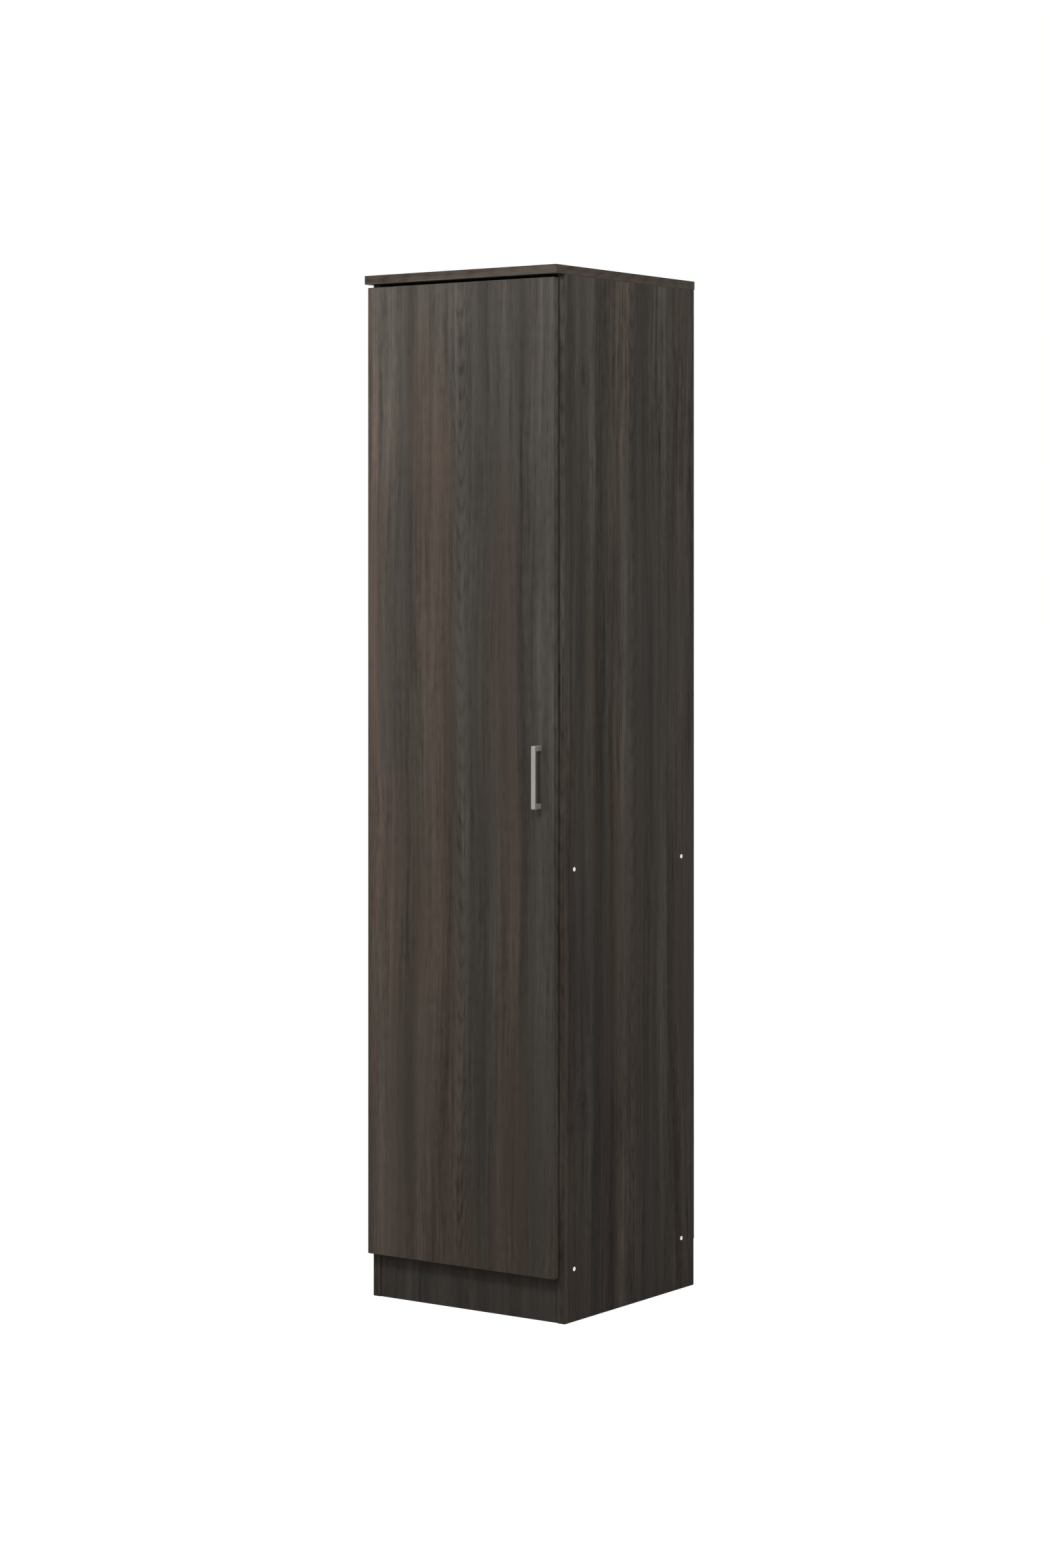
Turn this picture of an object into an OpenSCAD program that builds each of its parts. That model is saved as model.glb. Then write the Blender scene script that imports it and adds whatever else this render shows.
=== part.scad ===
// Narrow one-door wardrobe: laminated boards, full-height overlay door on concealed hinges
/* [Cabinet] */
// Overall height
height = 1750; // [1500:10:2100]
// Overall width
width = 400; // [360:5:600]
// Depth of the side panels, front edge to rear edge
side_depth = 395; // [350:5:560]
// Thickness of every board of the cabinet
board_t = 15; // [15:0.5:18]
// How far the top panel reaches in front of the side panels
top_overhang = 25; // [18:1:34]
// Thickness of the two back sheets
back_t = 3; // [2.5:0.5:4]
// Height of the plinth, floor to bottom panel
plinth_h = 80; // [60:5:120]
// How far the plinth stands back from the side panels' front edges
plinth_setback = 2; // [0:0.5:10]
/* [Interior] */
// Height of the fixed middle shelf's centre
mid_shelf_z = 750; // [640:5:860]
// Height of the back rail under the top panel
back_rail_h = 80; // [60:5:120]
// Distance between the two wall anchor holes in the back rail
anchor_pitch = 200; // [120:10:260]
// Diameter of the wall anchor holes
anchor_d = 6; // [5:0.5:8]
// Drop from the top panel to the hanging rail's centre
rail_drop = 60; // [45:1:90]
// Outer diameter of the hanging rail
rail_d = 25; // [20:0.5:28]
// Wall of the hanging rail's tube
rail_wall = 1.2; // [0.8:0.1:2]
// Height of the lowest shelf pin hole
pin_first_z = 354; // [300:1:380]
// Distance between shelf pin holes
pin_pitch = 32; // [25:1:40]
// Number of holes in each shelf pin row
pin_count = 5; // [3:1:6]
// Hole that carries the adjustable shelf, counted from 0 at the bottom
pin_used = 2; // [0:1:2]
// Diameter of the shelf pins
pin_d = 5; // [4:0.5:6]
// Gap between the adjustable shelf and each side panel
shelf_gap = 1; // [0.5:0.1:2]
// How far the adjustable shelf stands back from the front
shelf_setback = 12; // [5:1:40]
/* [Door] */
// Thickness of the door
door_t = 15; // [15:0.5:19]
// Gap between the door's back and the side panels
door_gap = 2; // [1.6:0.1:3]
// Gap between the door and the top panel
door_top_gap = 5; // [2:0.5:10]
// How far the door reaches down past the plinth's top
door_drop = 4.5; // [0:0.5:10]
// How far the door's hinge edge stands in from the cabinet's side
door_left_reveal = 1; // [0.5:0.1:2]
// Width of the side panel's edge left bare beside the door
door_right_reveal = 11; // [2:0.5:12]
/* [Handle] */
// Distance between the handle's two screws
handle_pitch = 96; // [64:32:160]
// Height of the handle's centre above the floor
handle_z = 903; // [850:1:1100]
// Distance from the door's free edge to the handle's centre line
handle_inset = 29; // [20:1:50]
// Width of the handle's bar
handle_w = 8; // [6:0.5:14]
// Height of each handle leg
handle_leg = 9.5; // [8:0.5:14]
// How far the handle stands out from the door
handle_out = 18; // [17:0.5:30]
// Thickness of the handle's bar, front to back
handle_bar_t = 4; // [3:0.5:8]
/* [Hinges] */
// Distance from each door end to its hinge
hinge_end = 100; // [80:5:160]
// Height of the middle hinge above the middle shelf
hinge_mid_up = 152; // [80:1:200]
// Diameter of the hinge cup
cup_d = 35; // [35:0.5:36]
// Depth of the hinge cup in the door
cup_depth = 12; // [11.5:0.1:12.5]
// Wood left between the hinge cup and the door's edge
cup_edge = 4; // [3.5:0.1:4.5]
// Distance from the cabinet's front to the hinge plate's screws
plate_setback = 37; // [34:0.5:42]
// Distance between the two screws of a hinge plate
plate_pitch = 32; // [28:1:36]
// Diameter of the hinge pins
hinge_pin_d = 3; // [2.6:0.1:3.2]
/* [Fittings] */
// Distance from a side panel's front edge to its front screws
screw_front = 27.5; // [20:0.5:50]
// Distance from a side panel's rear edge to its rear screws
screw_rear = 40; // [30:0.5:60]
// Diameter of the side screws' heads
screw_head_d = 7; // [6.5:0.5:9]
// Length of the side screws
screw_l = 50; // [40:5:60]
// Diameter of the dowels
dowel_d = 8; // [6:0.5:9]
// Diameter of the cam discs
cam_d = 15; // [12:0.5:16]
// Distance from the top panel to the cams' centres
cam_drop = 24; // [20:1:34]
// Distance from a side panel's edge to its cam
cam_inset = 60; // [50:1:80]

/* [Hidden] */
$fn = 48;

wood = [0.29, 0.255, 0.235];
wood_edge = [0.24, 0.21, 0.19];
sheet = [0.5, 0.42, 0.33];
zinc = [0.78, 0.78, 0.76];
nickel = [0.6, 0.58, 0.54];
tube = [0.72, 0.72, 0.72];
plastic = [0.93, 0.93, 0.9];
beech = [0.8, 0.66, 0.47];

// Main planes; y is 0 at the side panels' front edges until the whole is centred
half_w = width / 2;
inner = half_w - board_t;
side_h = height - board_t;
rear_y = side_depth + back_t;
door_back = -door_gap;
door_front = door_back - door_t;
front_y = -max(top_overhang, door_gap + door_t + handle_out);
centre_y = -(front_y + rear_y) / 2;
bottom_z = plinth_h + board_t / 2;
cut = 1;

// Door outline
door_x0 = -half_w + door_left_reveal;
door_x1 = half_w - door_right_reveal;
door_z0 = plinth_h - door_drop;
door_z1 = side_h - door_top_gap;
handle_x = door_x1 - handle_inset;
bumper_x = handle_x + 5;
bumper_r = 4;
handle_screw_r = 2;

// Hinge places: cup centre, the two pivots and the arm's bends
hinge_zs = [door_z0 + hinge_end, mid_shelf_z + hinge_mid_up, door_z1 - hinge_end];
cup_x = door_x0 + cup_edge + cup_d / 2;
cup_shell = 1;
cup_floor = 0.6;
flange_t = 1;
flange_r = cup_d / 2 + 1;
arm_pivot = [cup_x + 10.5, door_back - 7.95];
cup_pivot = [cup_x - 9.05, door_back - 1.45];
pin_r = hinge_pin_d / 2;
pivot_gap = 0.06;
knuckle_r = pin_r + 1;
link_w = 8;
cheek_w = 2.3;
play = 0.2;
arm_w = link_w + 2 * play + 2 * cheek_w;
arm_t = 2.6;
plate_t = 3;
arm_x = -inner + 8.5;
bend_1 = [arm_pivot[0] - 0.2, door_back + 4.2];
bend_2 = [arm_x, door_back + 13.2];
arm_end = [arm_x, plate_setback + 23];
boss_y0 = plate_setback - 19;
boss_y1 = arm_end[1];
arm_screw_y = plate_setback + 9;
arm_screw_r = 2;
plate_screw_r = 3;
plate_screw_l = 11;
ear_x = cup_x + 9.5;
ear_z = 24;
cup_screw_r = 1.75;

// Joining screws, dowels and cams
screw_r = 2.5;
screw_head_h = 0.8;
screw_cone_h = 2;
screw_ys = [screw_front, side_depth - screw_rear];
screw_zs = [bottom_z, mid_shelf_z];
dowel_r = dowel_d / 2;
dowel_side = 8;
dowel_in = 22;
top_dowel_ys = [cam_inset + 32, side_depth - cam_inset - 32];
plinth_y = plinth_setback + board_t / 2;
plinth_dowel_zs = [plinth_h * 0.3, plinth_h * 0.7];
back_rail_y = side_depth - board_t / 2;
back_dowel_zs = [side_h - back_rail_h * 0.25, side_h - back_rail_h * 0.75];
cam_r = cam_d / 2;
cam_deep = board_t - 2.5;
cam_z = side_h - cam_drop;
cam_ys = [cam_inset, side_depth - cam_inset];
bolt_bore_r = 3.6;
board_mid = inner + board_t / 2;

// Hanging rail and its sockets
rail_r = rail_d / 2;
rail_y = (side_depth - board_t) / 2;
rail_z = side_h - rail_drop;
socket_t = 2;
socket_gap = 0.1;
collar_r = rail_r + socket_gap + 2.2;
collar_l = 12;
socket_screw_up = collar_r + 7;
socket_screw_r = 1.75;
socket_screw_l = 12;

// Shelf pins
pin_front = 50;
pin_rear = 60;
pin_rows = [pin_front, side_depth - pin_rear];
pin_z = pin_first_z + pin_used * pin_pitch;
pin_deep = 8;
loose_z = pin_z + pin_d / 2;
loose_x = inner - shelf_gap;

// Nails of the back sheets
nail_r = 0.8;
nail_l = 20;
nail_head_r = 2.5;
nail_xs = [-0.3 * width, 0, 0.3 * width];
nail_end = 30;
nail_top_end = 120;
lower_nail_span = mid_shelf_z - plinth_h - 2 * nail_end;
upper_nail_span = side_h - mid_shelf_z - nail_end - nail_top_end;
lower_nail_zs = [for (i = [0:4]) plinth_h + nail_end + i * lower_nail_span / 4];
upper_nail_zs = [for (i = [0:6]) mid_shelf_z + nail_end + i * upper_nail_span / 6];

// Moves a piece from the cabinet's front plane to the centred frame
module centred() {
    translate([0, centre_y, 0]) children();
}

// A board between two corners
module board(p, q) {
    translate(p) cube(q - p);
}

// Rods along each axis, from one end to the other
module rod_x(x0, x1, y, z, r) {
    translate([x0, y, z]) rotate([0, 90, 0]) cylinder(r = r, h = x1 - x0);
}
module rod_y(y0, y1, x, z, r) {
    translate([x, y0, z]) rotate([-90, 0, 0]) cylinder(r = r, h = y1 - y0);
}
module rod_z(z0, z1, x, y, r) {
    translate([x, y, z0]) cylinder(r = r, h = z1 - z0);
}

// Both side screws' shapes point in from a left side panel
module side_screw_form(extra) {
    x0 = -half_w;
    r = screw_head_d / 2;
    rod_x(x0 - extra, x0 + screw_head_h, 0, 0, r);
    translate([x0 + screw_head_h, 0, 0])
        rotate([0, 90, 0]) cylinder(r1 = r, r2 = screw_r, h = screw_cone_h);
    rod_x(x0 + screw_head_h, x0 + screw_l, 0, 0, screw_r);
}

module side_screws() {
    for (y = screw_ys, z = screw_zs) translate([0, y, z]) difference() {
        side_screw_form(0);
        translate([-half_w - cut, 0, 0])
            rotate([0, 90, 0]) cylinder(r = 2.3, h = cut + 2, $fn = 6);
    }
}

module side_screw_holes(extra) {
    for (y = screw_ys, z = screw_zs) translate([0, y, z]) side_screw_form(extra);
}

// Dowels at the left side: top panel, plinth and back rail
module side_dowels() {
    for (y = top_dowel_ys) rod_z(side_h - 20, side_h + 10, -board_mid, y, dowel_r);
    for (z = plinth_dowel_zs)
        rod_x(-inner - dowel_side, -inner + dowel_in, plinth_y, z, dowel_r);
    for (z = back_dowel_zs)
        rod_x(-inner - dowel_side, -inner + dowel_in, back_rail_y, z, dowel_r);
}

// Cam disc, with the slot that takes its bolt and a cross for the driver
module cam_disc() {
    difference() {
        rod_x(-inner - cam_deep, -inner, 0, 0, cam_r);
        rod_z(-4, cam_r + cut, -board_mid, 0, 3.2);
        for (a = [0, 90]) rotate([a, 0, 0])
            board([-inner - 1.5, -4, -0.8], [-inner + cut, 4, 0.8]);
    }
}

// Cam bolt: threaded into the top panel, its head held in the cam disc
module cam_bolt() {
    rod_z(cam_drop, cam_drop + 11, -board_mid, 0, 3);
    rod_z(1.5, cam_drop, -board_mid, 0, 2);
    rod_z(-2, 1.5, -board_mid, 0, 3);
}

// Left side panel with the holes that both sides have
module side_board() {
    difference() {
        board([-half_w, 0, 0], [-inner, side_depth, side_h]);
        side_screw_holes(cut);
        side_dowels();
        for (y = cam_ys) {
            rod_x(-inner - cam_deep, -inner + cut, y, cam_z, cam_r);
            rod_z(cam_z - 4, side_h + cut, -board_mid, y, bolt_bore_r);
        }
        for (s = [-1, 1])
            rod_x(-inner - socket_screw_l, -inner + cut, rail_y, rail_z + s * socket_screw_up,
                  socket_screw_r);
        for (y = pin_rows, i = [0:pin_count - 1])
            rod_x(-inner - pin_deep - 1, -inner + cut, y, pin_first_z + i * pin_pitch, pin_d / 2);
    }
}

module side_panel_left() color(wood) centred() difference() {
    side_board();
    for (z = hinge_zs, s = [-1, 1])
        rod_x(-inner - plate_screw_l, -inner + cut, plate_setback, z + s * plate_pitch / 2,
              plate_screw_r);
}

module side_panel_right() color(wood) centred() mirror([1, 0, 0]) side_board();

module top_panel() color(wood) centred() difference() {
    board([-half_w, -top_overhang, side_h], [half_w, rear_y, height]);
    for (m = [0, 1]) mirror([m, 0, 0]) {
        side_dowels();
        for (y = cam_ys) rod_z(side_h - cut, side_h + 11, -board_mid, y, 3);
    }
}

module fixed_shelf(z) {
    difference() {
        board([-inner, 0, z - board_t / 2], [inner, side_depth, z + board_t / 2]);
        for (m = [0, 1]) mirror([m, 0, 0]) side_screw_holes(0);
    }
}

module bottom_panel() color(wood) centred() fixed_shelf(bottom_z);

module middle_shelf() color(wood) centred() fixed_shelf(mid_shelf_z);

module plinth_board() color(wood) centred() difference() {
    board([-inner, plinth_setback, 0], [inner, plinth_setback + board_t, plinth_h]);
    for (m = [0, 1]) mirror([m, 0, 0]) side_dowels();
}

// Holes for the two wall anchors, through the back rail and its sheet
module anchor_holes() {
    for (s = [-1, 1])
        rod_y(side_depth - board_t - cut, rear_y + cut, s * anchor_pitch / 2,
              side_h - back_rail_h / 2, anchor_d / 2);
}

module back_rail() color(wood) centred() difference() {
    board([-inner, side_depth - board_t, side_h - back_rail_h], [inner, side_depth, side_h]);
    for (m = [0, 1]) mirror([m, 0, 0]) side_dowels();
    anchor_holes();
}

module back_panel_upper() color(sheet) centred() difference() {
    board([-half_w + 1, side_depth, mid_shelf_z], [half_w - 1, rear_y, side_h]);
    anchor_holes();
}

module back_panel_lower() color(sheet) centred()
    board([-half_w + 1, side_depth, plinth_h], [half_w - 1, rear_y, mid_shelf_z]);

module nail() {
    rod_y(rear_y - nail_l, rear_y, 0, 0, nail_r);
    rod_y(rear_y - 1, rear_y, 0, 0, nail_head_r);
}

module back_nails() color(zinc) centred() {
    for (s = [-1, 1], z = concat(lower_nail_zs, upper_nail_zs))
        translate([s * board_mid, 0, z]) nail();
    for (x = nail_xs, z = [bottom_z, mid_shelf_z - 4, mid_shelf_z + 4, side_h - 12])
        translate([x, 0, z]) nail();
}

module hanging_rail() color(tube) centred() difference() {
    rod_x(-inner + socket_t, inner - socket_t, rail_y, rail_z, rail_r);
    rod_x(-inner - cut, inner + cut, rail_y, rail_z, rail_r - rail_wall);
}

// Rail socket on the left side: a plate with two ears and a closed collar
module rail_socket() {
    difference() {
        union() {
            rod_x(-inner, -inner + socket_t, rail_y, rail_z, collar_r + 2);
            rod_x(-inner, -inner + collar_l, rail_y, rail_z, collar_r);
            board([-inner, rail_y - 8, rail_z - socket_screw_up],
                  [-inner + socket_t, rail_y + 8, rail_z + socket_screw_up]);
            for (s = [-1, 1])
                rod_x(-inner, -inner + socket_t, rail_y, rail_z + s * socket_screw_up, 8);
        }
        rod_x(-inner + socket_t, -inner + collar_l + cut, rail_y, rail_z, rail_r + socket_gap);
        for (s = [-1, 1])
            rod_x(-inner - cut, -inner + socket_t + cut, rail_y, rail_z + s * socket_screw_up,
                  socket_screw_r);
    }
}

module rail_socket_left() color(zinc) centred() rail_socket();

module rail_socket_right() color(zinc) centred() mirror([1, 0, 0]) rail_socket();

// Pan-head screw along x: its head starts at x0 and its tip lies towards -x
module pan_screw(x0, head_r, head_h, r, l) {
    difference() {
        rod_x(x0, x0 + head_h, 0, 0, head_r);
        for (a = [0, 90]) rotate([a, 0, 0])
            board([x0 + head_h * 0.4, -head_r * 0.6, -0.5], [x0 + head_h + cut, head_r * 0.6, 0.5]);
    }
    rod_x(x0 - l, x0, 0, 0, r);
}

module rail_socket_screws() color(zinc) centred()
    for (m = [0, 1], s = [-1, 1]) mirror([m, 0, 0])
        translate([0, rail_y, rail_z + s * socket_screw_up])
            pan_screw(-inner + socket_t, 3.4, 1.8, socket_screw_r, socket_t + socket_screw_l);

module adjustable_shelf() color(wood) centred()
    board([-loose_x, shelf_setback, loose_z], [loose_x, side_depth - 2, loose_z + board_t]);

// Shelf pin: a peg in the side, a collar and a flat spoon under the shelf
module shelf_pin() {
    rod_x(-inner - pin_deep, -inner, 0, 0, pin_d / 2);
    rod_x(-inner, -inner + shelf_gap, 0, 0, pin_d / 2 + 1.5);
    board([-inner, -pin_d / 2 - 1.5, pin_d / 2 - 2], [-inner + 10, pin_d / 2 + 1.5, pin_d / 2]);
}

module shelf_pins() color(plastic) centred()
    for (m = [0, 1], y = pin_rows) mirror([m, 0, 0]) translate([0, y, pin_z]) shelf_pin();

module side_screws_left() color(zinc) centred() side_screws();

module side_screws_right() color(zinc) centred() mirror([1, 0, 0]) side_screws();

module cam_discs() color(zinc) centred()
    for (m = [0, 1], y = cam_ys) mirror([m, 0, 0]) translate([0, y, cam_z]) cam_disc();

module cam_bolts() color(zinc) centred()
    for (m = [0, 1], y = cam_ys) mirror([m, 0, 0]) translate([0, y, cam_z]) cam_bolt();

module dowels() color(beech) centred() for (m = [0, 1]) mirror([m, 0, 0]) side_dowels();

// Repeats a hinge piece at each hinge's height
module at_hinges() {
    centred() for (z = hinge_zs) translate([0, 0, z]) children();
}

// Flat strip between two points, drawn in plan
module strip(p, q, t) {
    d = q - p;
    translate(p) rotate(atan2(d[1], d[0])) translate([0, -t / 2]) square([norm(d), t]);
}

// Plan drawing pulled up to a width that is centred on the hinge
module slab(w) {
    translate([0, 0, -w / 2]) linear_extrude(w) children();
}

module hinge_plates() color(zinc) at_hinges() difference() {
    union() {
        board([-inner, plate_setback - 7, -plate_pitch / 2 - 7],
              [-inner + plate_t, plate_setback + 7, plate_pitch / 2 + 7]);
        board([-inner, boss_y0, -arm_w / 2], [arm_x - arm_t / 2, boss_y1, arm_w / 2]);
    }
    for (s = [-1, 1])
        rod_x(-inner - cut, -inner + plate_t + cut, plate_setback, s * plate_pitch / 2,
              plate_screw_r);
    rod_x(-inner + 1, arm_x, arm_screw_y, 0, arm_screw_r);
}

module hinge_plate_screws() color(zinc) at_hinges()
    for (s = [-1, 1]) translate([0, plate_setback, s * plate_pitch / 2])
        pan_screw(-inner + plate_t, 4.6, 2, plate_screw_r, plate_t + plate_screw_l);

// Hinge arm: a cranked strip that ends in two cheeks round the first pivot
module hinge_arms() color(zinc) at_hinges() difference() {
    slab(arm_w) {
        translate(arm_pivot) circle(r = knuckle_r);
        strip(arm_pivot, bend_1, arm_t);
        translate(bend_1) circle(r = arm_t / 2);
        strip(bend_1, bend_2, arm_t);
        translate(bend_2) circle(r = arm_t / 2);
        strip(bend_2, arm_end, arm_t);
    }
    slab(link_w + 2 * play) translate(arm_pivot - [20, 20]) square([40, 20 + knuckle_r + 0.5]);
    rod_z(-arm_w, arm_w, arm_pivot[0], arm_pivot[1], pin_r);
    rod_x(arm_x - arm_t, arm_x + arm_t, arm_screw_y, 0, arm_screw_r);
}

module hinge_arm_screws() color(zinc) at_hinges() translate([0, arm_screw_y, 0])
    pan_screw(arm_x + arm_t / 2, 3.8, 2.2, arm_screw_r, arm_x + arm_t / 2 + inner - 1);

module hinge_arm_pins() color(zinc) at_hinges()
    rod_z(-arm_w / 2, arm_w / 2, arm_pivot[0], arm_pivot[1], pin_r);

// Hinge link: two knuckles joined by a web, turning on both pins
module hinge_links() color(zinc) at_hinges() difference() {
    slab(link_w) {
        translate(arm_pivot) circle(r = knuckle_r);
        translate(cup_pivot) circle(r = knuckle_r);
        strip(arm_pivot, cup_pivot, arm_t);
    }
    for (p = [arm_pivot, cup_pivot])
        rod_z(-link_w, link_w, p[0], p[1], pin_r + pivot_gap);
}

module door_panel() color(wood) centred() difference() {
    board([door_x0, door_front, door_z0], [door_x1, door_back, door_z1]);
    for (z = hinge_zs) {
        rod_y(door_back - cup_depth, door_back + cut, cup_x, z, cup_d / 2);
        for (s = [-1, 1])
            rod_y(door_back - 11, door_back + cut, ear_x, z + s * ear_z, cup_screw_r);
    }
    for (s = [-1, 1])
        rod_y(door_front - cut, door_back + cut, handle_x, handle_z + s * handle_pitch / 2,
              handle_screw_r);
}

// Hinge cup: a shallow pot with a flange, and two lugs that hold its pin
module hinge_cups() color(zinc) at_hinges() difference() {
    union() {
        difference() {
            union() {
                rod_y(door_back - cup_depth, door_back, cup_x, 0, cup_d / 2);
                rod_y(door_back, door_back + flange_t, cup_x, 0, flange_r);
                board([ear_x - 6, door_back, -ear_z], [ear_x + 6, door_back + flange_t, ear_z]);
                for (s = [-1, 1])
                    rod_y(door_back, door_back + flange_t, ear_x, s * ear_z, 6);
            }
            rod_y(door_back - cup_depth + cup_floor, door_back + flange_t + cut, cup_x, 0,
                  cup_d / 2 - cup_shell);
        }
        for (m = [0, 1]) mirror([0, 0, m]) translate([0, 0, link_w / 2 + play])
            linear_extrude(cheek_w) {
                translate(cup_pivot) circle(r = knuckle_r - 0.1);
                translate([cup_pivot[0] - knuckle_r + 0.1, door_back - cup_depth + cup_floor / 2])
                    square([2 * knuckle_r - 0.2, cup_pivot[1] - door_back + cup_depth - cup_floor / 2]);
            }
    }
    rod_z(-arm_w, arm_w, cup_pivot[0], cup_pivot[1], pin_r);
    for (s = [-1, 1])
        rod_y(door_back - cut, door_back + flange_t + cut, ear_x, s * ear_z, cup_screw_r);
}

module hinge_cup_screws() color(zinc) at_hinges() for (s = [-1, 1])
    translate([ear_x, door_back + flange_t, s * ear_z])
        rotate([0, 0, 90]) pan_screw(0, 3.6, 1.6, cup_screw_r, flange_t + 11);

module hinge_cup_pins() color(zinc) at_hinges()
    rod_z(-arm_w / 2, arm_w / 2, cup_pivot[0], cup_pivot[1], pin_r);

// Handle: a square bow with a threaded hole in each leg
module handle() color(nickel) centred() translate([handle_x, 0, handle_z]) difference() {
    board([-handle_w / 2, door_front - handle_out, -(handle_pitch + handle_leg) / 2],
          [handle_w / 2, door_front, (handle_pitch + handle_leg) / 2]);
    board([-handle_w, door_front - handle_out + handle_bar_t, -(handle_pitch - handle_leg) / 2],
          [handle_w, door_front + cut, (handle_pitch - handle_leg) / 2]);
    for (s = [-1, 1])
        rod_y(door_front - 8, door_front + cut, 0, s * handle_pitch / 2, handle_screw_r);
}

module handle_screws() color(zinc) centred() for (s = [-1, 1])
    translate([handle_x, door_back, handle_z + s * handle_pitch / 2])
        rotate([0, 0, 90]) pan_screw(0, 4, 2.4, handle_screw_r, door_t + 8);

module door_bumpers() color(plastic) centred() for (z = [bottom_z, mid_shelf_z])
    rod_y(door_back, 0, bumper_x, z, bumper_r);

side_panel_left();
side_panel_right();
top_panel();
bottom_panel();
middle_shelf();
plinth_board();
back_rail();
back_panel_upper();
back_panel_lower();
back_nails();
hanging_rail();
rail_socket_left();
rail_socket_right();
rail_socket_screws();
adjustable_shelf();
shelf_pins();
side_screws_left();
side_screws_right();
cam_discs();
cam_bolts();
dowels();
hinge_plates();
hinge_plate_screws();
hinge_arms();
hinge_arm_screws();
hinge_arm_pins();
hinge_links();
door_panel();
hinge_cups();
hinge_cup_screws();
hinge_cup_pins();
handle();
handle_screws();
door_bumpers();
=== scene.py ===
import math

import bmesh
import bpy
import numpy as np
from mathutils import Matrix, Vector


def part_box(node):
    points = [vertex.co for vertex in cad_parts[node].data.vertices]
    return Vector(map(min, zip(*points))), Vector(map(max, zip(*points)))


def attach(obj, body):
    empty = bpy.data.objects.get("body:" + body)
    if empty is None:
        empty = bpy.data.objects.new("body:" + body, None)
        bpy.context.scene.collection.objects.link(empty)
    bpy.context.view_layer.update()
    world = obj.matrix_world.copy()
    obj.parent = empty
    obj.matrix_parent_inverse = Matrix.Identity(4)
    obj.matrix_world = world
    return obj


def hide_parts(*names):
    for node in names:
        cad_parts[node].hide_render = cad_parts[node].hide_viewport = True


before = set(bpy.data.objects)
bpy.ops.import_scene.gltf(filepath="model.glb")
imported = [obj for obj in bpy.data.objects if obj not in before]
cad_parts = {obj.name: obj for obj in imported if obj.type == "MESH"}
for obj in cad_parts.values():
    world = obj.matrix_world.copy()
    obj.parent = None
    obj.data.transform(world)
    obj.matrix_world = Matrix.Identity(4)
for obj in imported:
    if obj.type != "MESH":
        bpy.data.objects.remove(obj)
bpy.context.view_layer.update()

X, Y, Z = 0, 1, 2
HAIR = 1e-5  # metres; closer than this counts as touching
SHARP = math.radians(30)  # edges that turn more than this are eased


def make_camera():
    """A long lens, level with the door's upper half and shifted down to take in the floor."""
    data = bpy.data.cameras.new("camera")
    data.sensor_width = 36
    data.lens = 79.286
    data.shift_y = -0.1322
    data.clip_end = 200
    cam = bpy.data.objects.new("camera", data)
    cam.location = (3.447, -4.8695, 1.235)
    cam.rotation_euler = (math.radians(90), 0, math.radians(35.41))
    bpy.context.scene.collection.objects.link(cam)
    bpy.context.scene.camera = cam


make_camera()


class Term:
    """A shader value. Arithmetic on it adds Math nodes to the finish that it belongs to."""

    def __init__(self, finish, socket):
        self.finish = finish
        self.socket = socket

    def math(self, operation, *values):
        sockets = dict(enumerate(values))
        return self.finish.add("ShaderNodeMath", {"operation": operation}, sockets)

    def __add__(self, other):
        return self.math("ADD", self, other)

    __radd__ = __add__

    def __mul__(self, other):
        return self.math("MULTIPLY", self, other)

    __rmul__ = __mul__

    def __sub__(self, other):
        return self.math("SUBTRACT", self, other)

    def __rsub__(self, other):
        return self.math("SUBTRACT", other, self)

    def __truediv__(self, other):
        return self.math("DIVIDE", self, other)

    def __pow__(self, other):
        return self.math("POWER", self, other)

    def sine(self):
        return self.math("SINE", self)

    def magnitude(self):
        return self.math("ABSOLUTE", self)

    def at_most(self, other):
        return self.math("MINIMUM", self, other)

    def at_least(self, other):
        return self.math("MAXIMUM", self, other)

    def step(self, low, high):
        """0 below low, 1 above high, and a smooth rise between them."""
        sockets = {"Value": self, "From Min": low, "From Max": high}
        return self.finish.add("ShaderNodeMapRange", {"interpolation_type": "SMOOTHSTEP"}, sockets)


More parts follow.
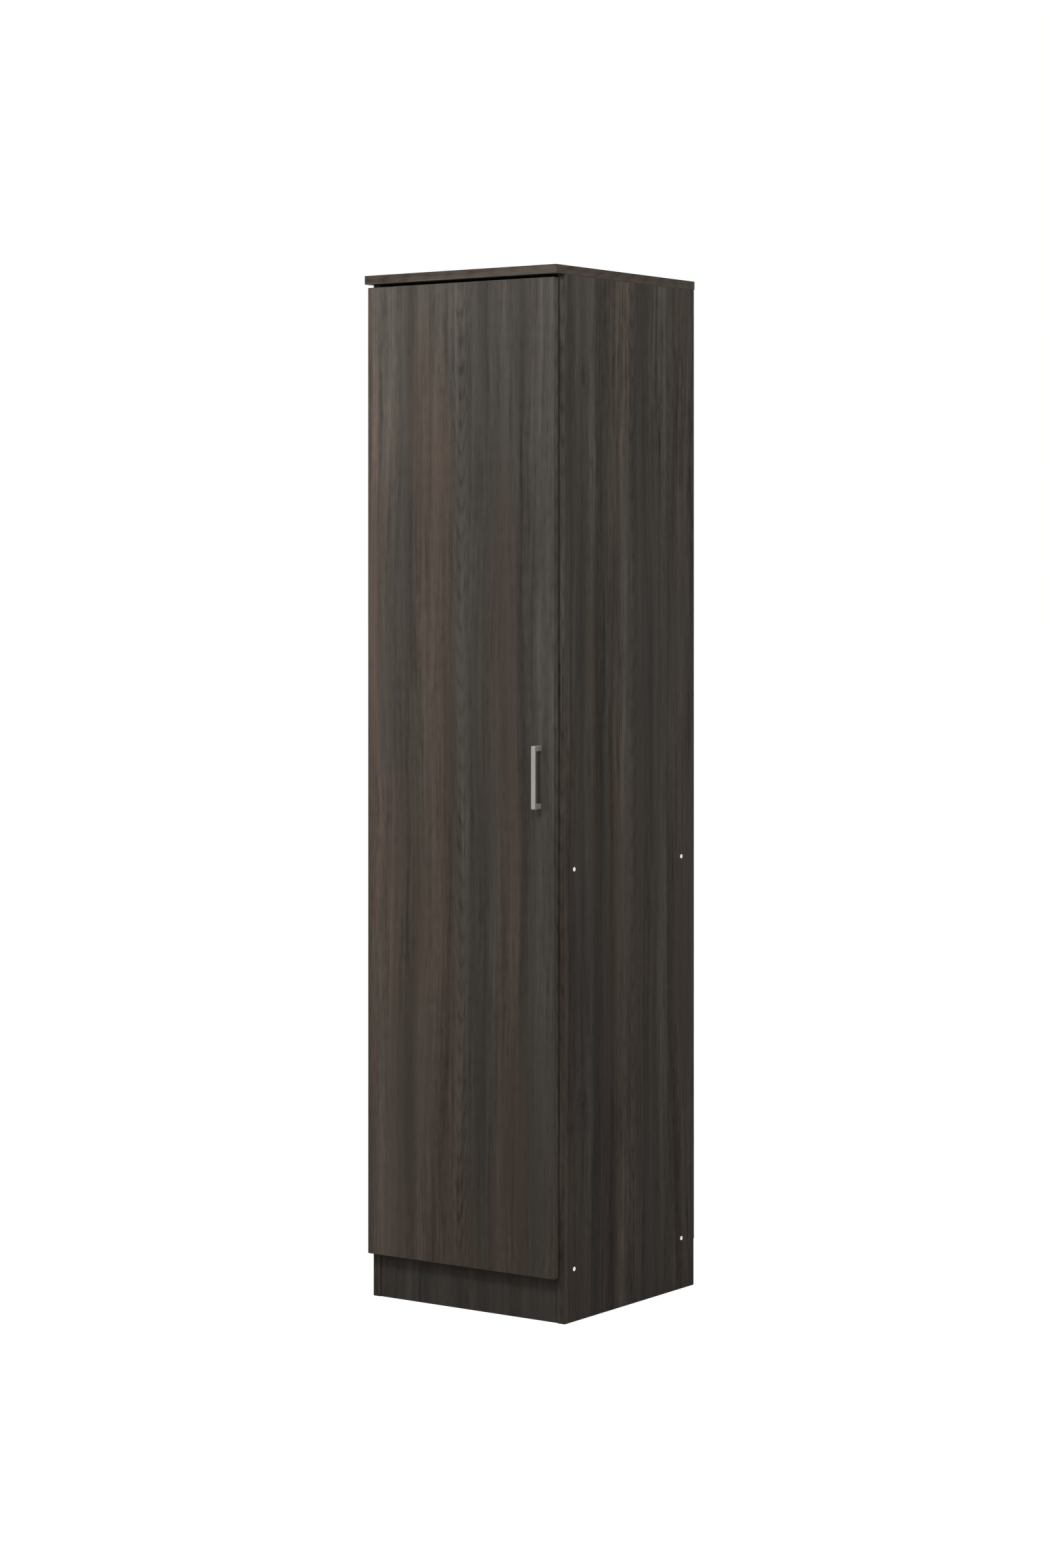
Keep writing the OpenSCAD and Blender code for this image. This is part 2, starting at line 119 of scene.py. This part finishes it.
class Finish:
    """A node material in the making, with one Principled surface; or a world, which has none."""

    def __init__(self, name, kind=bpy.data.materials):
        self.material = kind.new(name)
        self.material.use_nodes = True
        self.tree = self.material.node_tree
        self.surface = self.tree.nodes.get("Principled BSDF")

    def add(self, kind, settings=None, sockets=None, out=0):
        """Adds a node: its settings first, then the values or links of its sockets."""
        node = self.tree.nodes.new(kind)
        for key, value in (settings or {}).items():
            if key == "stops":
                fill_ramp(node.color_ramp, value)
            else:
                setattr(node, key, value)
        self.feed(node, sockets or {})
        return Term(self, node.outputs[out])

    def feed(self, node, sockets):
        for key, value in sockets.items():
            if isinstance(value, Term):
                self.tree.links.new(value.socket, node.inputs[key])
            else:
                node.inputs[key].default_value = value

    def set(self, **sockets):
        """Sets or links sockets of the surface; an underscore in a name stands for a space."""
        self.feed(self.surface, {key.replace("_", " "): value for key, value in sockets.items()})
        return self.material

    def vector(self, x, y, z):
        return self.add("ShaderNodeCombineXYZ", sockets={"X": x, "Y": y, "Z": z})

    def parts(self, vector):
        """The vector's x, y and z."""
        return [self.add("ShaderNodeSeparateXYZ", sockets={"Vector": vector}, out=axis)
                for axis in (X, Y, Z)]

    def place(self):
        """The point's place on the object, in metres."""
        return self.parts(self.add("ShaderNodeTexCoord", out=3))

    def noise(self, x, y, z, detail=2.0, roughness=0.5, distortion=0.0):
        sockets = {"Vector": self.vector(x, y, z), "Scale": 1.0, "Detail": detail,
                   "Roughness": roughness, "Distortion": distortion}
        return self.add("ShaderNodeTexNoise", sockets=sockets)

    def blend(self, factor, a, b):
        """Colour a where factor is 0 and colour b where it is 1."""
        return self.add("ShaderNodeMix", {"data_type": "RGBA"}, {0: factor, 6: a, 7: b}, out=2)

    def scaled(self, color, value):
        """A colour times a value."""
        if not isinstance(color, Term):
            color = color[:3]
        sockets = {"Vector": color, "Scale": value}
        return self.add("ShaderNodeVectorMath", {"operation": "SCALE"}, sockets)

    def bump(self, height, distance, strength=1.0):
        sockets = {"Height": height, "Distance": distance, "Strength": strength}
        return self.add("ShaderNodeBump", sockets=sockets)

    def shown_white(self, plain, white, output):
        """The white shader to camera, glossy and transmission rays, the plain one to all others."""
        camera, glossy, clear = (self.add("ShaderNodeLightPath", out=ray) for ray in
                                 ("Is Camera Ray", "Is Glossy Ray", "Is Transmission Ray"))
        seen = camera.at_least(glossy).at_least(clear)
        mix = self.add("ShaderNodeMixShader", sockets={0: seen, 1: plain, 2: white})
        self.feed(self.tree.nodes[output], {"Surface": mix})


def fill_ramp(ramp, stops):
    """Gives a ramp its stops: (place, grey level) pairs in rising order, joined smoothly."""
    ramp.interpolation = "EASE"
    while len(ramp.elements) < len(stops):
        ramp.elements.new(0.5)
    for element, (place, level) in zip(ramp.elements, stops):
        element.position = place
        element.color = (level, level, level, 1)


def rgb(r, g, b):
    return (r, g, b, 1)


# Laminate: dark printed wood, its grain laid out by each board's own "grain" attribute.
# Streaks and tones go across a board and shades go along it, as pairs of (millimetres from
# the middle, level). They were fitted to averages measured over broad bands.
COOL_BROWN = rgb(0.0425, 0.0380, 0.0328)
WARM_BROWN = rgb(0.0484, 0.0380, 0.0307)
CHIPBOARD = rgb(0.42, 0.30, 0.17)
DOOR_STREAKS = ((-199, 0.92), (-180, 1.3), (-158, 1.18), (-120, 1.0), (-100, 0.88), (-92, 1.02),
                (-81, 1.2), (-58, 1.08), (-24, 0.97), (5, 1.1), (42, 0.85), (85, 0.98), (108, 0.96),
                (133, 0.79), (150, 0.85), (176, 1.08), (189, 1.1))
DOOR_TONES = ((-199, 1.5), (-180, 1.3), (-150, 1.0), (-100, 1.1), (-50, 1.3), (-20, 1.2),
              (0, 0.75), (50, 0.8), (70, 1.0), (120, 1.05), (150, 0.8), (189, 0.75))
# The door's shades are painted light: paler at its top end, where the lamp's light falls, and
# darker below it.
DOOR_PAINTED_LIGHT = ((-860, 1.02), (-300, 1.0), (130, 0.97), (430, 0.91), (640, 1.0), (860, 1.06))
SIDE_STREAKS = ((-206, 1.1), (-189, 1.14), (-182, 0.76), (-174, 0.94), (-145, 0.94), (-120, 1.16),
                (-101, 0.76), (-78, 0.86), (-52, 0.95), (-30, 1.24), (-4, 1.14), (18, 0.97),
                (40, 0.81), (76, 1.08), (103, 1.2), (121, 0.84), (156, 1.04), (200, 1.06))
STREAK_DEPTH = 1.15
SIDE_KNOTS = ((-0.145, 0.70), (-0.145, -0.52))
FULL_TURN = 6.283


def streak_ramp(f, metres, streaks):
    """The level of the streaks at a place. The ramp holds half the level, because it ends at 1."""
    first, last = streaks[0][0], streaks[-1][0]
    stops = [((mm - first) / (last - first), (1 + (level - 1) * STREAK_DEPTH) / 2)
             for mm, level in streaks]
    place = (metres * 1000 - first) / (last - first)
    return f.add("ShaderNodeValToRGB", {"stops": stops}, {"Fac": place}) * 2


def laminate(name, streaks=None, tones=None, shades=None, strength=1.0, contrast=1.0, lift=1.0,
             cooler=0, painted_sheen_up=0, knots=()):
    """Printed wood: broad soft streaks, finer and shorter ones within them, pore dashes, a
    cathedral figure along the middle, and the grain led round each knot, given as (across, along)
    in metres. The print is cooler all over by cooler, and cooler up the board by the given amount
    in each metre: a painted sheen for the reflection of light on the upper part. It is warm where
    tones is over 1, and paler or darker along the board by shades, which on the door are painted
    light: paler at its top end and darker just below it."""
    f = Finish(name)
    across, along, seed = f.parts(f.add("ShaderNodeAttribute", {"attribute_name": "grain"}, out=1))
    raw = f.add("ShaderNodeAttribute", {"attribute_name": "raw"}, out=2)
    # The edge bands' lift is painted light and shade: lighter on the door's bands, darker on the
    # side panels'
    band_painted_light = f.add("ShaderNodeAttribute", {"attribute_name": "lift"}, out=2)

    # The grain wanders a little, and bends round the knots
    drift = f.noise(across * 5, along * 1.6, seed, 1.0) - 0.5
    wave = f.noise(across * 40, along * 7, seed + 2, 1.0) - 0.5
    u = across + drift * 0.026 + wave * 0.0045
    dark = 0
    for knot_across, knot_along in knots:
        dx, dz = across - knot_across, (along - knot_along) * 0.4
        reach = dx * dx + dz * dz
        u = u - dx * (1 - reach.step(0, 0.026 ** 2)) * 0.75
        dark = dark + (1 - reach.step(0, 0.009 ** 2)) * 0.35

    # Layers of the print, from broad to fine, busier in some zones than in others
    broad = f.noise(u * 28, along * 1.0, seed + 5, 2.0, 0.55) - 0.5
    middle = f.noise(u * 105, along * 2.4, seed + 9, 3.0, 0.6) - 0.5
    fine = f.noise(u * 430, along * 7, seed + 13, 2.0, 0.6) - 0.5
    mottle = f.noise(u * 140, along * 36, seed + 27, 2.0, 0.55) - 0.5
    pores = f.noise(u * 1200, along * 30, seed + 17, 1.0).step(0.60, 0.72)
    busy = 0.5 + f.noise(across * 17, along * 2.4, seed + 31, 1.0).step(0.35, 0.65) * 0.95
    off = u - 0.004
    rings = (0.5 + 0.5 * ((along * 21 - off * off * 5200 + broad * 3) * FULL_TURN).sine()) ** 3
    figure = rings * (1 - (off.magnitude() * 24).at_most(1))
    layers = (middle * 0.95 + fine * 0.55 + mottle * 0.42) * busy * contrast
    value = 1 + broad * (1.5 * strength) + layers - figure * 0.2 - pores * 0.25 - dark
    if streaks:
        value = value * streak_ramp(f, u, streaks)
    # Shades along the board are painted light: on the door, paler at its top end and darker below
    # it
    if shades:
        value = value * streak_ramp(f, along, shades)

    # Colour, with bare chipboard where the face is marked raw
    # Cooler up the board is a painted sheen: the reflection of light on the upper part
    warmth = f.noise(u * 15, along * 0.9, seed + 21, 2.0) - along * painted_sheen_up - cooler
    if tones:
        warmth = warmth + (streak_ramp(f, u, tones) - 1) * 0.4
    warmth = warmth.step(0.38, 0.64)
    color = f.scaled(f.blend(warmth, COOL_BROWN, WARM_BROWN), value * (lift + band_painted_light))
    chips = f.noise(across * 900, along * 900, seed, 2.0)
    color = f.blend(raw, color, f.scaled(CHIPBOARD, 0.55 + chips * 0.9))
    relief = fine * 0.4 + middle * 0.3 - pores
    rough = 0.42 - middle * 0.12 + pores * 0.12 + raw * 0.4
    return f.set(Base_Color=color, Roughness=rough, Normal=f.bump(relief, 0.00006, 0.6),
                 Specular_IOR_Level=0.02)


LAMINATE = laminate("laminate")
# The door and side panels turn cooler upwards: a painted sheen for light reflected on their upper
# parts.
LAMINATE_DOOR = laminate("laminate_door", DOOR_STREAKS, DOOR_TONES, DOOR_PAINTED_LIGHT, strength=0.6,
                         painted_sheen_up=0.22)
LAMINATE_SIDE = laminate("laminate_side", SIDE_STREAKS, strength=0.75, contrast=1.35,
                         painted_sheen_up=0.1, knots=SIDE_KNOTS)
# The plinth is painted darker all over, as the shade under the door's overhang, and is cooler.
LAMINATE_PLINTH = laminate("laminate_plinth", strength=0.8, contrast=0.8, lift=0.81, cooler=0.13)
LAMINATE_RIM = laminate("laminate_rim", lift=1.1)


def hardboard():
    """Raw brown fibreboard: matted short fibres, darker specks and a faint screen pattern."""
    f = Finish("hardboard")
    x, y, z = f.place()
    clouds = f.noise(x * 9, y * 9, z * 9, 3.0) - 0.5
    fibres = f.noise(x * 420, y * 420, z * 160, 3.0, 0.65, 1.5) - 0.5
    specks = f.noise(x * 700, y * 700, z * 700, 1.0).step(0.66, 0.74)
    color = f.blend(0.5 + clouds, rgb(0.23, 0.135, 0.07), rgb(0.31, 0.195, 0.105))
    color = f.scaled(color, 1 + fibres * 0.7 - specks * 0.35)
    screen = (x * 2600).sine() * (z * 2600).sine()
    return f.set(Base_Color=color, Roughness=0.82 + fibres * 0.2,
                 Normal=f.bump(fibres + screen * 0.25, 0.00012, 0.7), Specular_IOR_Level=0.2)


def metal(name, color, roughness, scale, brushing, patches, tint=None, metallic=1.0):
    """Plated metal: scratches drawn out along the axis of smallest scale, and cloudy patches."""
    f = Finish(name)
    x, y, z = f.place()
    lines = f.noise(x * scale[0], y * scale[1], z * scale[2], 2.0, 0.6) - 0.5
    clouds = f.noise(x * 60, y * 60, z * 60, 2.0) - 0.5
    smudge = f.noise(x * 150, y * 150, z * 150, 3.0, 0.6).step(0.45, 0.75)
    base = f.blend(0.5 + clouds * 1.2, rgb(*color), rgb(*(tint or color)))
    base = f.scaled(base, 1 + lines * brushing * 2 + clouds * patches - smudge * 0.06)
    rough = roughness + lines * brushing + smudge * 0.1
    return f.set(Base_Color=base, Metallic=metallic, Roughness=rough,
                 Normal=f.bump(lines, 0.00002, 0.5))


def plastic(name, color, roughness, transmission):
    """Moulded plastic: slight flow clouds and a fine satin surface."""
    f = Finish(name)
    x, y, z = f.place()
    flow = f.noise(x * 130, y * 130, z * 130, 2.0, 0.5, 1.0) - 0.5
    satin = f.noise(x * 2500, y * 2500, z * 2500, 1.0) - 0.5
    red, green, blue = color
    deeper = rgb(red * 0.93, green * 0.95, blue * 0.92)
    base = f.scaled(f.blend(0.5 + flow, rgb(*color), deeper), 1 + flow * 0.12)
    return f.set(Base_Color=base, Roughness=roughness + flow * 0.1 + satin * 0.06,
                 Normal=f.bump(satin, 0.00002, 0.3), Transmission_Weight=transmission, IOR=1.46)


def beech():
    """Turned beech dowels: short dark flecks and ribs along their length."""
    f = Finish("beech")
    x, y, z = f.place()
    grain = f.noise(x * 260, y * 900, z * 900, 3.0, 0.6) - 0.5
    flecks = f.noise(x * 700, y * 1500, z * 1500, 1.0).step(0.62, 0.7)
    color = f.scaled(rgb(0.56, 0.37, 0.21), 1 + grain * 0.4 - flecks * 0.25)
    return f.set(Base_Color=color, Roughness=0.6 + grain * 0.2,
                 Normal=f.bump(grain, 0.0001, 0.5), Specular_IOR_Level=0.3)


HARDBOARD = hardboard()
BEECH = beech()
CHROME = metal("rail_tube", (0.74, 0.74, 0.745), 0.13, (30, 700, 700), 0.05, 0.05)
NICKEL = metal("brushed_nickel", (0.265, 0.254, 0.225), 0.42, (1500, 1500, 45), 0.12, 0.12,
               (0.232, 0.221, 0.188), metallic=0.35)
HINGE_STEEL = metal("hinge_steel", (0.60, 0.59, 0.57), 0.30, (500, 500, 60), 0.05, 0.03)
BRIGHT_ZINC = metal("bright_zinc", (0.88, 0.88, 0.87), 0.25, (400, 400, 400), 0.06, 0.1)
ZINC = metal("zinc", (0.60, 0.60, 0.585), 0.36, (400, 400, 400), 0.10, 0.25,
             (0.62, 0.59, 0.50))
CLEAR_PLASTIC = plastic("clear_plastic", (0.86, 0.88, 0.88), 0.22, 0.55)
BUMPER = plastic("bumper", (0.84, 0.85, 0.84), 0.3, 0.7)


def merged_copy(node):
    """A CAD node's mesh with its doubled corners merged and its flat faces joined up."""
    bm = bmesh.new()
    bm.from_mesh(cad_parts[node].data)
    bmesh.ops.remove_doubles(bm, verts=bm.verts, dist=2e-6)
    bmesh.ops.dissolve_limit(bm, angle_limit=math.radians(0.5), verts=bm.verts, edges=bm.edges)
    mesh = bpy.data.meshes.new(node + "_form")
    bm.to_mesh(mesh)
    bm.free()
    return mesh


def numbers(items, name, width, kind=np.float64):
    """One property of all of a mesh's items as an array."""
    out = np.empty(len(items) * width, kind)
    items.foreach_get(name, out)
    return out.reshape(-1, width) if width > 1 else out


def mark_outer_edges(mesh):
    """Gives full bevel weight to the edges that lie on two of the box's six planes."""
    co = numbers(mesh.vertices, "co", 3)
    ends = numbers(mesh.edges, "vertices", 2, np.int32)
    on_low = (np.abs(co - co.min(0)) < HAIR)[ends].all(1)
    on_high = (np.abs(co - co.max(0)) < HAIR)[ends].all(1)
    weight = ((on_low | on_high).sum(1) >= 2).astype(np.float32)
    mesh.attributes.new("bevel_weight_edge", "FLOAT", "EDGE").data.foreach_set("value", weight)


def lay_grain(mesh, along, flat, seed, band_painted_light=(0, 0)):
    """Writes the grain attribute: on a face (across, along, seed); on an edge band the grain runs
    along the band, so it is (thickness, length, seed). Walls inside holes are marked raw, and
    the edge bands get their own lift in brightness, from the board's low end to its high end:
    painted light where it is above 0 and painted shade where it is below."""
    co = numbers(mesh.vertices, "co", 3)
    low, high = co.min(0), co.max(0)
    corner = numbers(mesh.loops, "vertex_index", 1, np.int32)
    totals = numbers(mesh.polygons, "loop_total", 1, np.int32)
    normal = numbers(mesh.polygons, "normal", 3)
    middle = numbers(mesh.polygons, "center", 3)
    polygon = np.arange(len(totals))
    face = np.repeat(polygon, totals)
    axis = np.abs(normal).argmax(1)
    sign = np.sign(normal[polygon, axis])
    side = 3 - along - flat
    across_axis = np.where(axis == flat, side, flat)
    length_axis = np.where(axis == along, side, along)
    p = co[corner] - (low + high) / 2
    rows = np.arange(len(corner))
    grain = np.empty((len(corner), 3), np.float32)
    grain[:, 0] = p[rows, across_axis[face]]
    grain[:, 1] = p[rows, length_axis[face]]
    grain[:, 2] = seed + 1.7 * axis[face] + 0.6 * sign[face]
    outside = np.where(sign > 0, high[axis], low[axis])
    inside = np.abs(middle[polygon, axis] - outside) > HAIR
    tilted = np.abs(normal).max(1) < 0.999
    raw = (inside | tilted)[face].astype(np.float32)
    on_band = (axis != flat)[face]
    rise = (co[corner, along] - low[along]) / (high[along] - low[along])
    low_lift, high_lift = band_painted_light
    lift = (on_band * (low_lift + (high_lift - low_lift) * rise)).astype(np.float32)
    attributes = mesh.attributes
    attributes.new("grain", "FLOAT_VECTOR", "CORNER").data.foreach_set("vector", grain.ravel())
    attributes.new("raw", "FLOAT", "CORNER").data.foreach_set("value", raw)
    attributes.new("lift", "FLOAT", "CORNER").data.foreach_set("value", lift)
    return axis, sign


def show(name, mesh, body, materials, nodes):
    """Links a finished piece that stands for CAD nodes and rides on their body."""
    obj = bpy.data.objects.new(name, mesh)
    bpy.context.scene.collection.objects.link(obj)
    for material in materials:
        mesh.materials.append(material)
    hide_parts(*nodes)
    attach(obj, body)
    return obj


def bevel(obj, width, segments, weighted=True, rim=-1):
    """Eases a piece's marked edges, or all its sharp ones, and gives them the rim material."""
    modifier = obj.modifiers.new("eased_edges", "BEVEL")
    modifier.width = width
    modifier.segments = segments
    modifier.limit_method = "WEIGHT" if weighted else "ANGLE"
    modifier.angle_limit = SHARP
    modifier.material = rim


def make_board(node, along, flat, seed, width=0.0008, material=LAMINATE, body="cabinet",
               band_painted_light=(0, 0)):
    """A laminated board with eased edges, banded all round. The seed gives it its own print."""
    mesh = merged_copy(node)
    mark_outer_edges(mesh)
    lay_grain(mesh, along, flat, seed, band_painted_light)
    obj = show(node + "_board", mesh, body, [material, LAMINATE_RIM], [node])
    bevel(obj, width, 3, rim=1)


def make_back_sheet(node, seed):
    """A back sheet: printed on the inside, raw on its back and edges."""
    mesh = merged_copy(node)
    axis, sign = lay_grain(mesh, Z, Y, seed)
    raw_side = ~((axis == Y) & (sign < 0))
    mesh.polygons.foreach_set("material_index", raw_side.astype(np.int32))
    mark_outer_edges(mesh)
    obj = show(node + "_sheet", mesh, "cabinet", [LAMINATE, HARDBOARD], [node])
    bevel(obj, 0.0007, 2, rim=1)


# Painted light and shade on the edge bands, at the board's low and high ends: the side panels'
# bands are painted darker, for the shade beside the door, and the door's are painted lighter, for
# light on its edges.
SIDE_BAND_PAINTED_SHADE = (-0.2, -0.15)
DOOR_BAND_PAINTED_LIGHT = (0.5, 0.35)
make_board("side_panel_left", Z, X, 11.0, material=LAMINATE_SIDE, band_painted_light=SIDE_BAND_PAINTED_SHADE)
make_board("side_panel_right", Z, X, 17.0, material=LAMINATE_SIDE, band_painted_light=SIDE_BAND_PAINTED_SHADE)
make_board("top_panel", X, Z, 31.0)
make_board("bottom_panel", X, Z, 43.0)
make_board("middle_shelf", X, Z, 57.0)
make_board("adjustable_shelf", X, Z, 61.0)
make_board("plinth_board", Z, Y, 71.0, material=LAMINATE_PLINTH)
make_board("back_rail", X, Y, 83.0)
make_board("door_panel", Z, Y, 191.0, 0.001, LAMINATE_DOOR, "door", DOOR_BAND_PAINTED_LIGHT)
make_back_sheet("back_panel_upper", 103.0)
make_back_sheet("back_panel_lower", 107.0)

BAR_THICK = 0.004
LEG_THICK = 0.0095
OUTER_CORNER = 0.0022
INNER_CORNER = 0.0012
CORNER_STEPS = 9
SECTION_POINTS = 56
SQUARENESS = 7


def bow_path(out, height, corner):
    """One side of the handle's outline in the (out, up) plane: up out of the door, round a corner,
    along the bar, round the other corner and back. Each corner is a quarter circle."""
    turn = np.linspace(0, math.pi / 2, CORNER_STEPS)
    low = np.stack([out - corner + corner * np.sin(turn),
                    -height + corner - corner * np.cos(turn)], 1)
    high = low[::-1] * (1, -1)
    leg = np.linspace(0, 1, CORNER_STEPS)[:-1, None]
    bar = np.linspace(0, 1, 4 * CORNER_STEPS)[1:-1, None]
    start, end = np.array([0, -height]), np.array([0, height])
    return np.concatenate([start + (low[0] - start) * leg, low,
                           low[-1] + (high[0] - low[-1]) * bar,
                           high, high[-1] + (end - high[-1]) * (1 - leg[::-1])])


def make_handle():
    """Square bow: at each place along it the section is a rounded rectangle between the outer and
    the inner outline, a superellipse |a|^n + |b|^n = 1 in half thickness and half width, where n
    is the squareness."""
    low, high = (np.array(v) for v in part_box("handle"))
    centre, half = (low + high) / 2, (high - low) / 2
    out = high[Y] - low[Y]
    outer = bow_path(out, half[Z], OUTER_CORNER)
    inner = bow_path(out - BAR_THICK, half[Z] - LEG_THICK, INNER_CORNER)
    angle = np.linspace(0, 2 * math.pi, SECTION_POINTS, endpoint=False)
    a, b = (np.sign(v) * np.abs(v) ** (2 / SQUARENESS) for v in (np.cos(angle), np.sin(angle)))
    middle, reach = (outer + inner) / 2, (outer - inner) / 2
    ring = middle[:, None] + reach[:, None] * a[None, :, None]
    points = np.empty(ring.shape[:2] + (3,))
    points[..., X] = centre[X] + half[X] * b
    points[..., Y] = high[Y] - ring[..., 0]
    points[..., Z] = centre[Z] + ring[..., 1]
    rows, cols = ring.shape[:2]
    i, j = np.meshgrid(np.arange(rows - 1), np.arange(cols), indexing="ij")
    k = (j + 1) % cols
    quads = np.stack([i * cols + j, i * cols + k, (i + 1) * cols + k, (i + 1) * cols + j], -1)
    ends = [list(range(cols)), list(range((rows - 1) * cols, rows * cols))[::-1]]
    mesh = bpy.data.meshes.new("handle_form")
    mesh.from_pydata(points.reshape(-1, 3), [], quads.reshape(-1, 4).tolist() + ends)
    mesh.update()
    mesh.polygons.foreach_set("use_smooth", [True] * (len(mesh.polygons) - 2) + [False] * 2)
    show("handle_bow", mesh, "door", [NICKEL], ["handle"])


make_handle()


def make_fitting(node, body, material, width):
    """A metal fitting: the CAD form with its edges eased."""
    obj = show(node + "_eased", merged_copy(node), body, [material], [node])
    bevel(obj, width, 2, weighted=False)


make_fitting("hinge_plates", "cabinet", HINGE_STEEL, 0.0006)
make_fitting("hinge_arms", "cabinet", HINGE_STEEL, 0.0004)
make_fitting("hinge_links", "hinge_links", HINGE_STEEL, 0.0003)
make_fitting("hinge_cups", "door", HINGE_STEEL, 0.0003)
make_fitting("rail_socket_left", "cabinet", ZINC, 0.0004)
make_fitting("rail_socket_right", "cabinet", ZINC, 0.0004)

# CAD nodes that show as they are, by finish
CAD_FINISHES = (
    (CHROME, ("hanging_rail",)),
    (ZINC, ("rail_socket_screws", "cam_discs", "cam_bolts", "back_nails")),
    (BRIGHT_ZINC, ("side_screws_left", "side_screws_right")),
    (HINGE_STEEL, ("hinge_plate_screws", "hinge_arm_screws", "hinge_arm_pins", "hinge_cup_screws",
                   "hinge_cup_pins", "handle_screws")),
    (CLEAR_PLASTIC, ("shelf_pins",)),
    (BUMPER, ("door_bumpers",)),
    (BEECH, ("dowels",)),
)
for material, nodes in CAD_FINISHES:
    for node in nodes:
        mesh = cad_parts[node].data
        mesh.materials.clear()
        mesh.materials.append(material)

WHITE = rgb(1, 1, 1)
FLOOR_REACH = 60
FLOOR_DROP = 0.0005


def make_world(ambient):
    """An even soft light from all round, which shows as plain white."""
    f = Finish("studio", bpy.data.worlds)
    bpy.context.scene.world = f.material
    f.tree.nodes.remove(f.tree.nodes["Background"])
    plain = f.add("ShaderNodeBackground", sockets={"Color": WHITE, "Strength": ambient})
    white = f.add("ShaderNodeBackground", sockets={"Color": WHITE, "Strength": 1.0})
    f.shown_white(plain, white, "World Output")


def make_floor():
    """A pale floor: white paper that keeps the cabinet's soft shadow, and plain white far off."""
    mesh = bpy.data.meshes.new("floor")
    corners = [(x * FLOOR_REACH, y * FLOOR_REACH, -FLOOR_DROP)
               for x, y in ((-1, -1), (1, -1), (1, 1), (-1, 1))]
    mesh.from_pydata(corners, [], [(0, 1, 2, 3)])
    floor = bpy.data.objects.new("floor", mesh)
    bpy.context.scene.collection.objects.link(floor)
    f = Finish("floor")
    f.tree.nodes.remove(f.surface)
    x, y, z = f.place()
    away = (x * x + y * y).step(1.5, 12)
    plain = f.add("ShaderNodeBsdfDiffuse", sockets={"Color": rgb(0.45, 0.45, 0.45)})
    paper = f.add("ShaderNodeEmission", sockets={"Strength": 0.82 + away * 0.18})
    lit = f.add("ShaderNodeBsdfDiffuse", sockets={"Color": rgb(0.28, 0.28, 0.28)})
    white = f.add("ShaderNodeAddShader", sockets={0: paper, 1: lit})
    f.shown_white(plain, white, "Material Output")
    mesh.materials.append(f.material)


def aim(obj, place, target):
    """Puts a lamp in its place and turns its -Z to the target."""
    away = np.array(place, float) - np.array(target, float)
    flat = math.hypot(away[0], away[1])
    obj.location = place
    obj.rotation_euler = (math.atan2(flat, away[2]), 0, math.atan2(away[0], -away[1]))


def make_lamp(name, kind, energy, place, target, size, glare=True):
    """A soft lamp: size is a sun's angle or an area's sides. Without glare it isn't reflected."""
    data = bpy.data.lights.new(name, kind)
    data.energy = energy
    if kind == "SUN":
        data.angle = math.radians(size)
    else:
        data.shape = "RECTANGLE"
        data.size, data.size_y = size
    lamp = bpy.data.objects.new(name, data)
    lamp.visible_camera = False
    lamp.visible_glossy = glare
    bpy.context.scene.collection.objects.link(lamp)
    aim(lamp, place, target)


make_world(0.265)
make_floor()
make_lamp("key", "SUN", 0.07, (1.3, -3.8, 4.9), (0, 0, 0.9), 20)
make_lamp("front", "AREA", 42, (0.15, -1.85, 2.25), (0, -0.2, 1.8), (0.6, 0.5), glare=False)
make_lamp("low", "AREA", 9, (0.5, -3.0, 0.7), (0, -0.2, 0.6), (1.2, 0.8))
make_lamp("left", "AREA", 22, (-1.7, -2.5, 1.6), (0, -0.2, 1.2), (1.0, 1.0), glare=False)
make_lamp("fill", "AREA", 31, (1.9, -1.9, 2.9), (0.1, -0.1, 1.4), (0.9, 0.9))
make_lamp("rim", "AREA", 22, (1.9, 0.1, 2.25), (0.2, 0.1, 2.1), (0.6, 0.9))
make_lamp("back", "AREA", 60, (-1.6, 3.0, 2.6), (0, 0, 1.2), (1.0, 1.2), glare=False)

bpy.context.scene.view_settings.view_transform = "Standard"
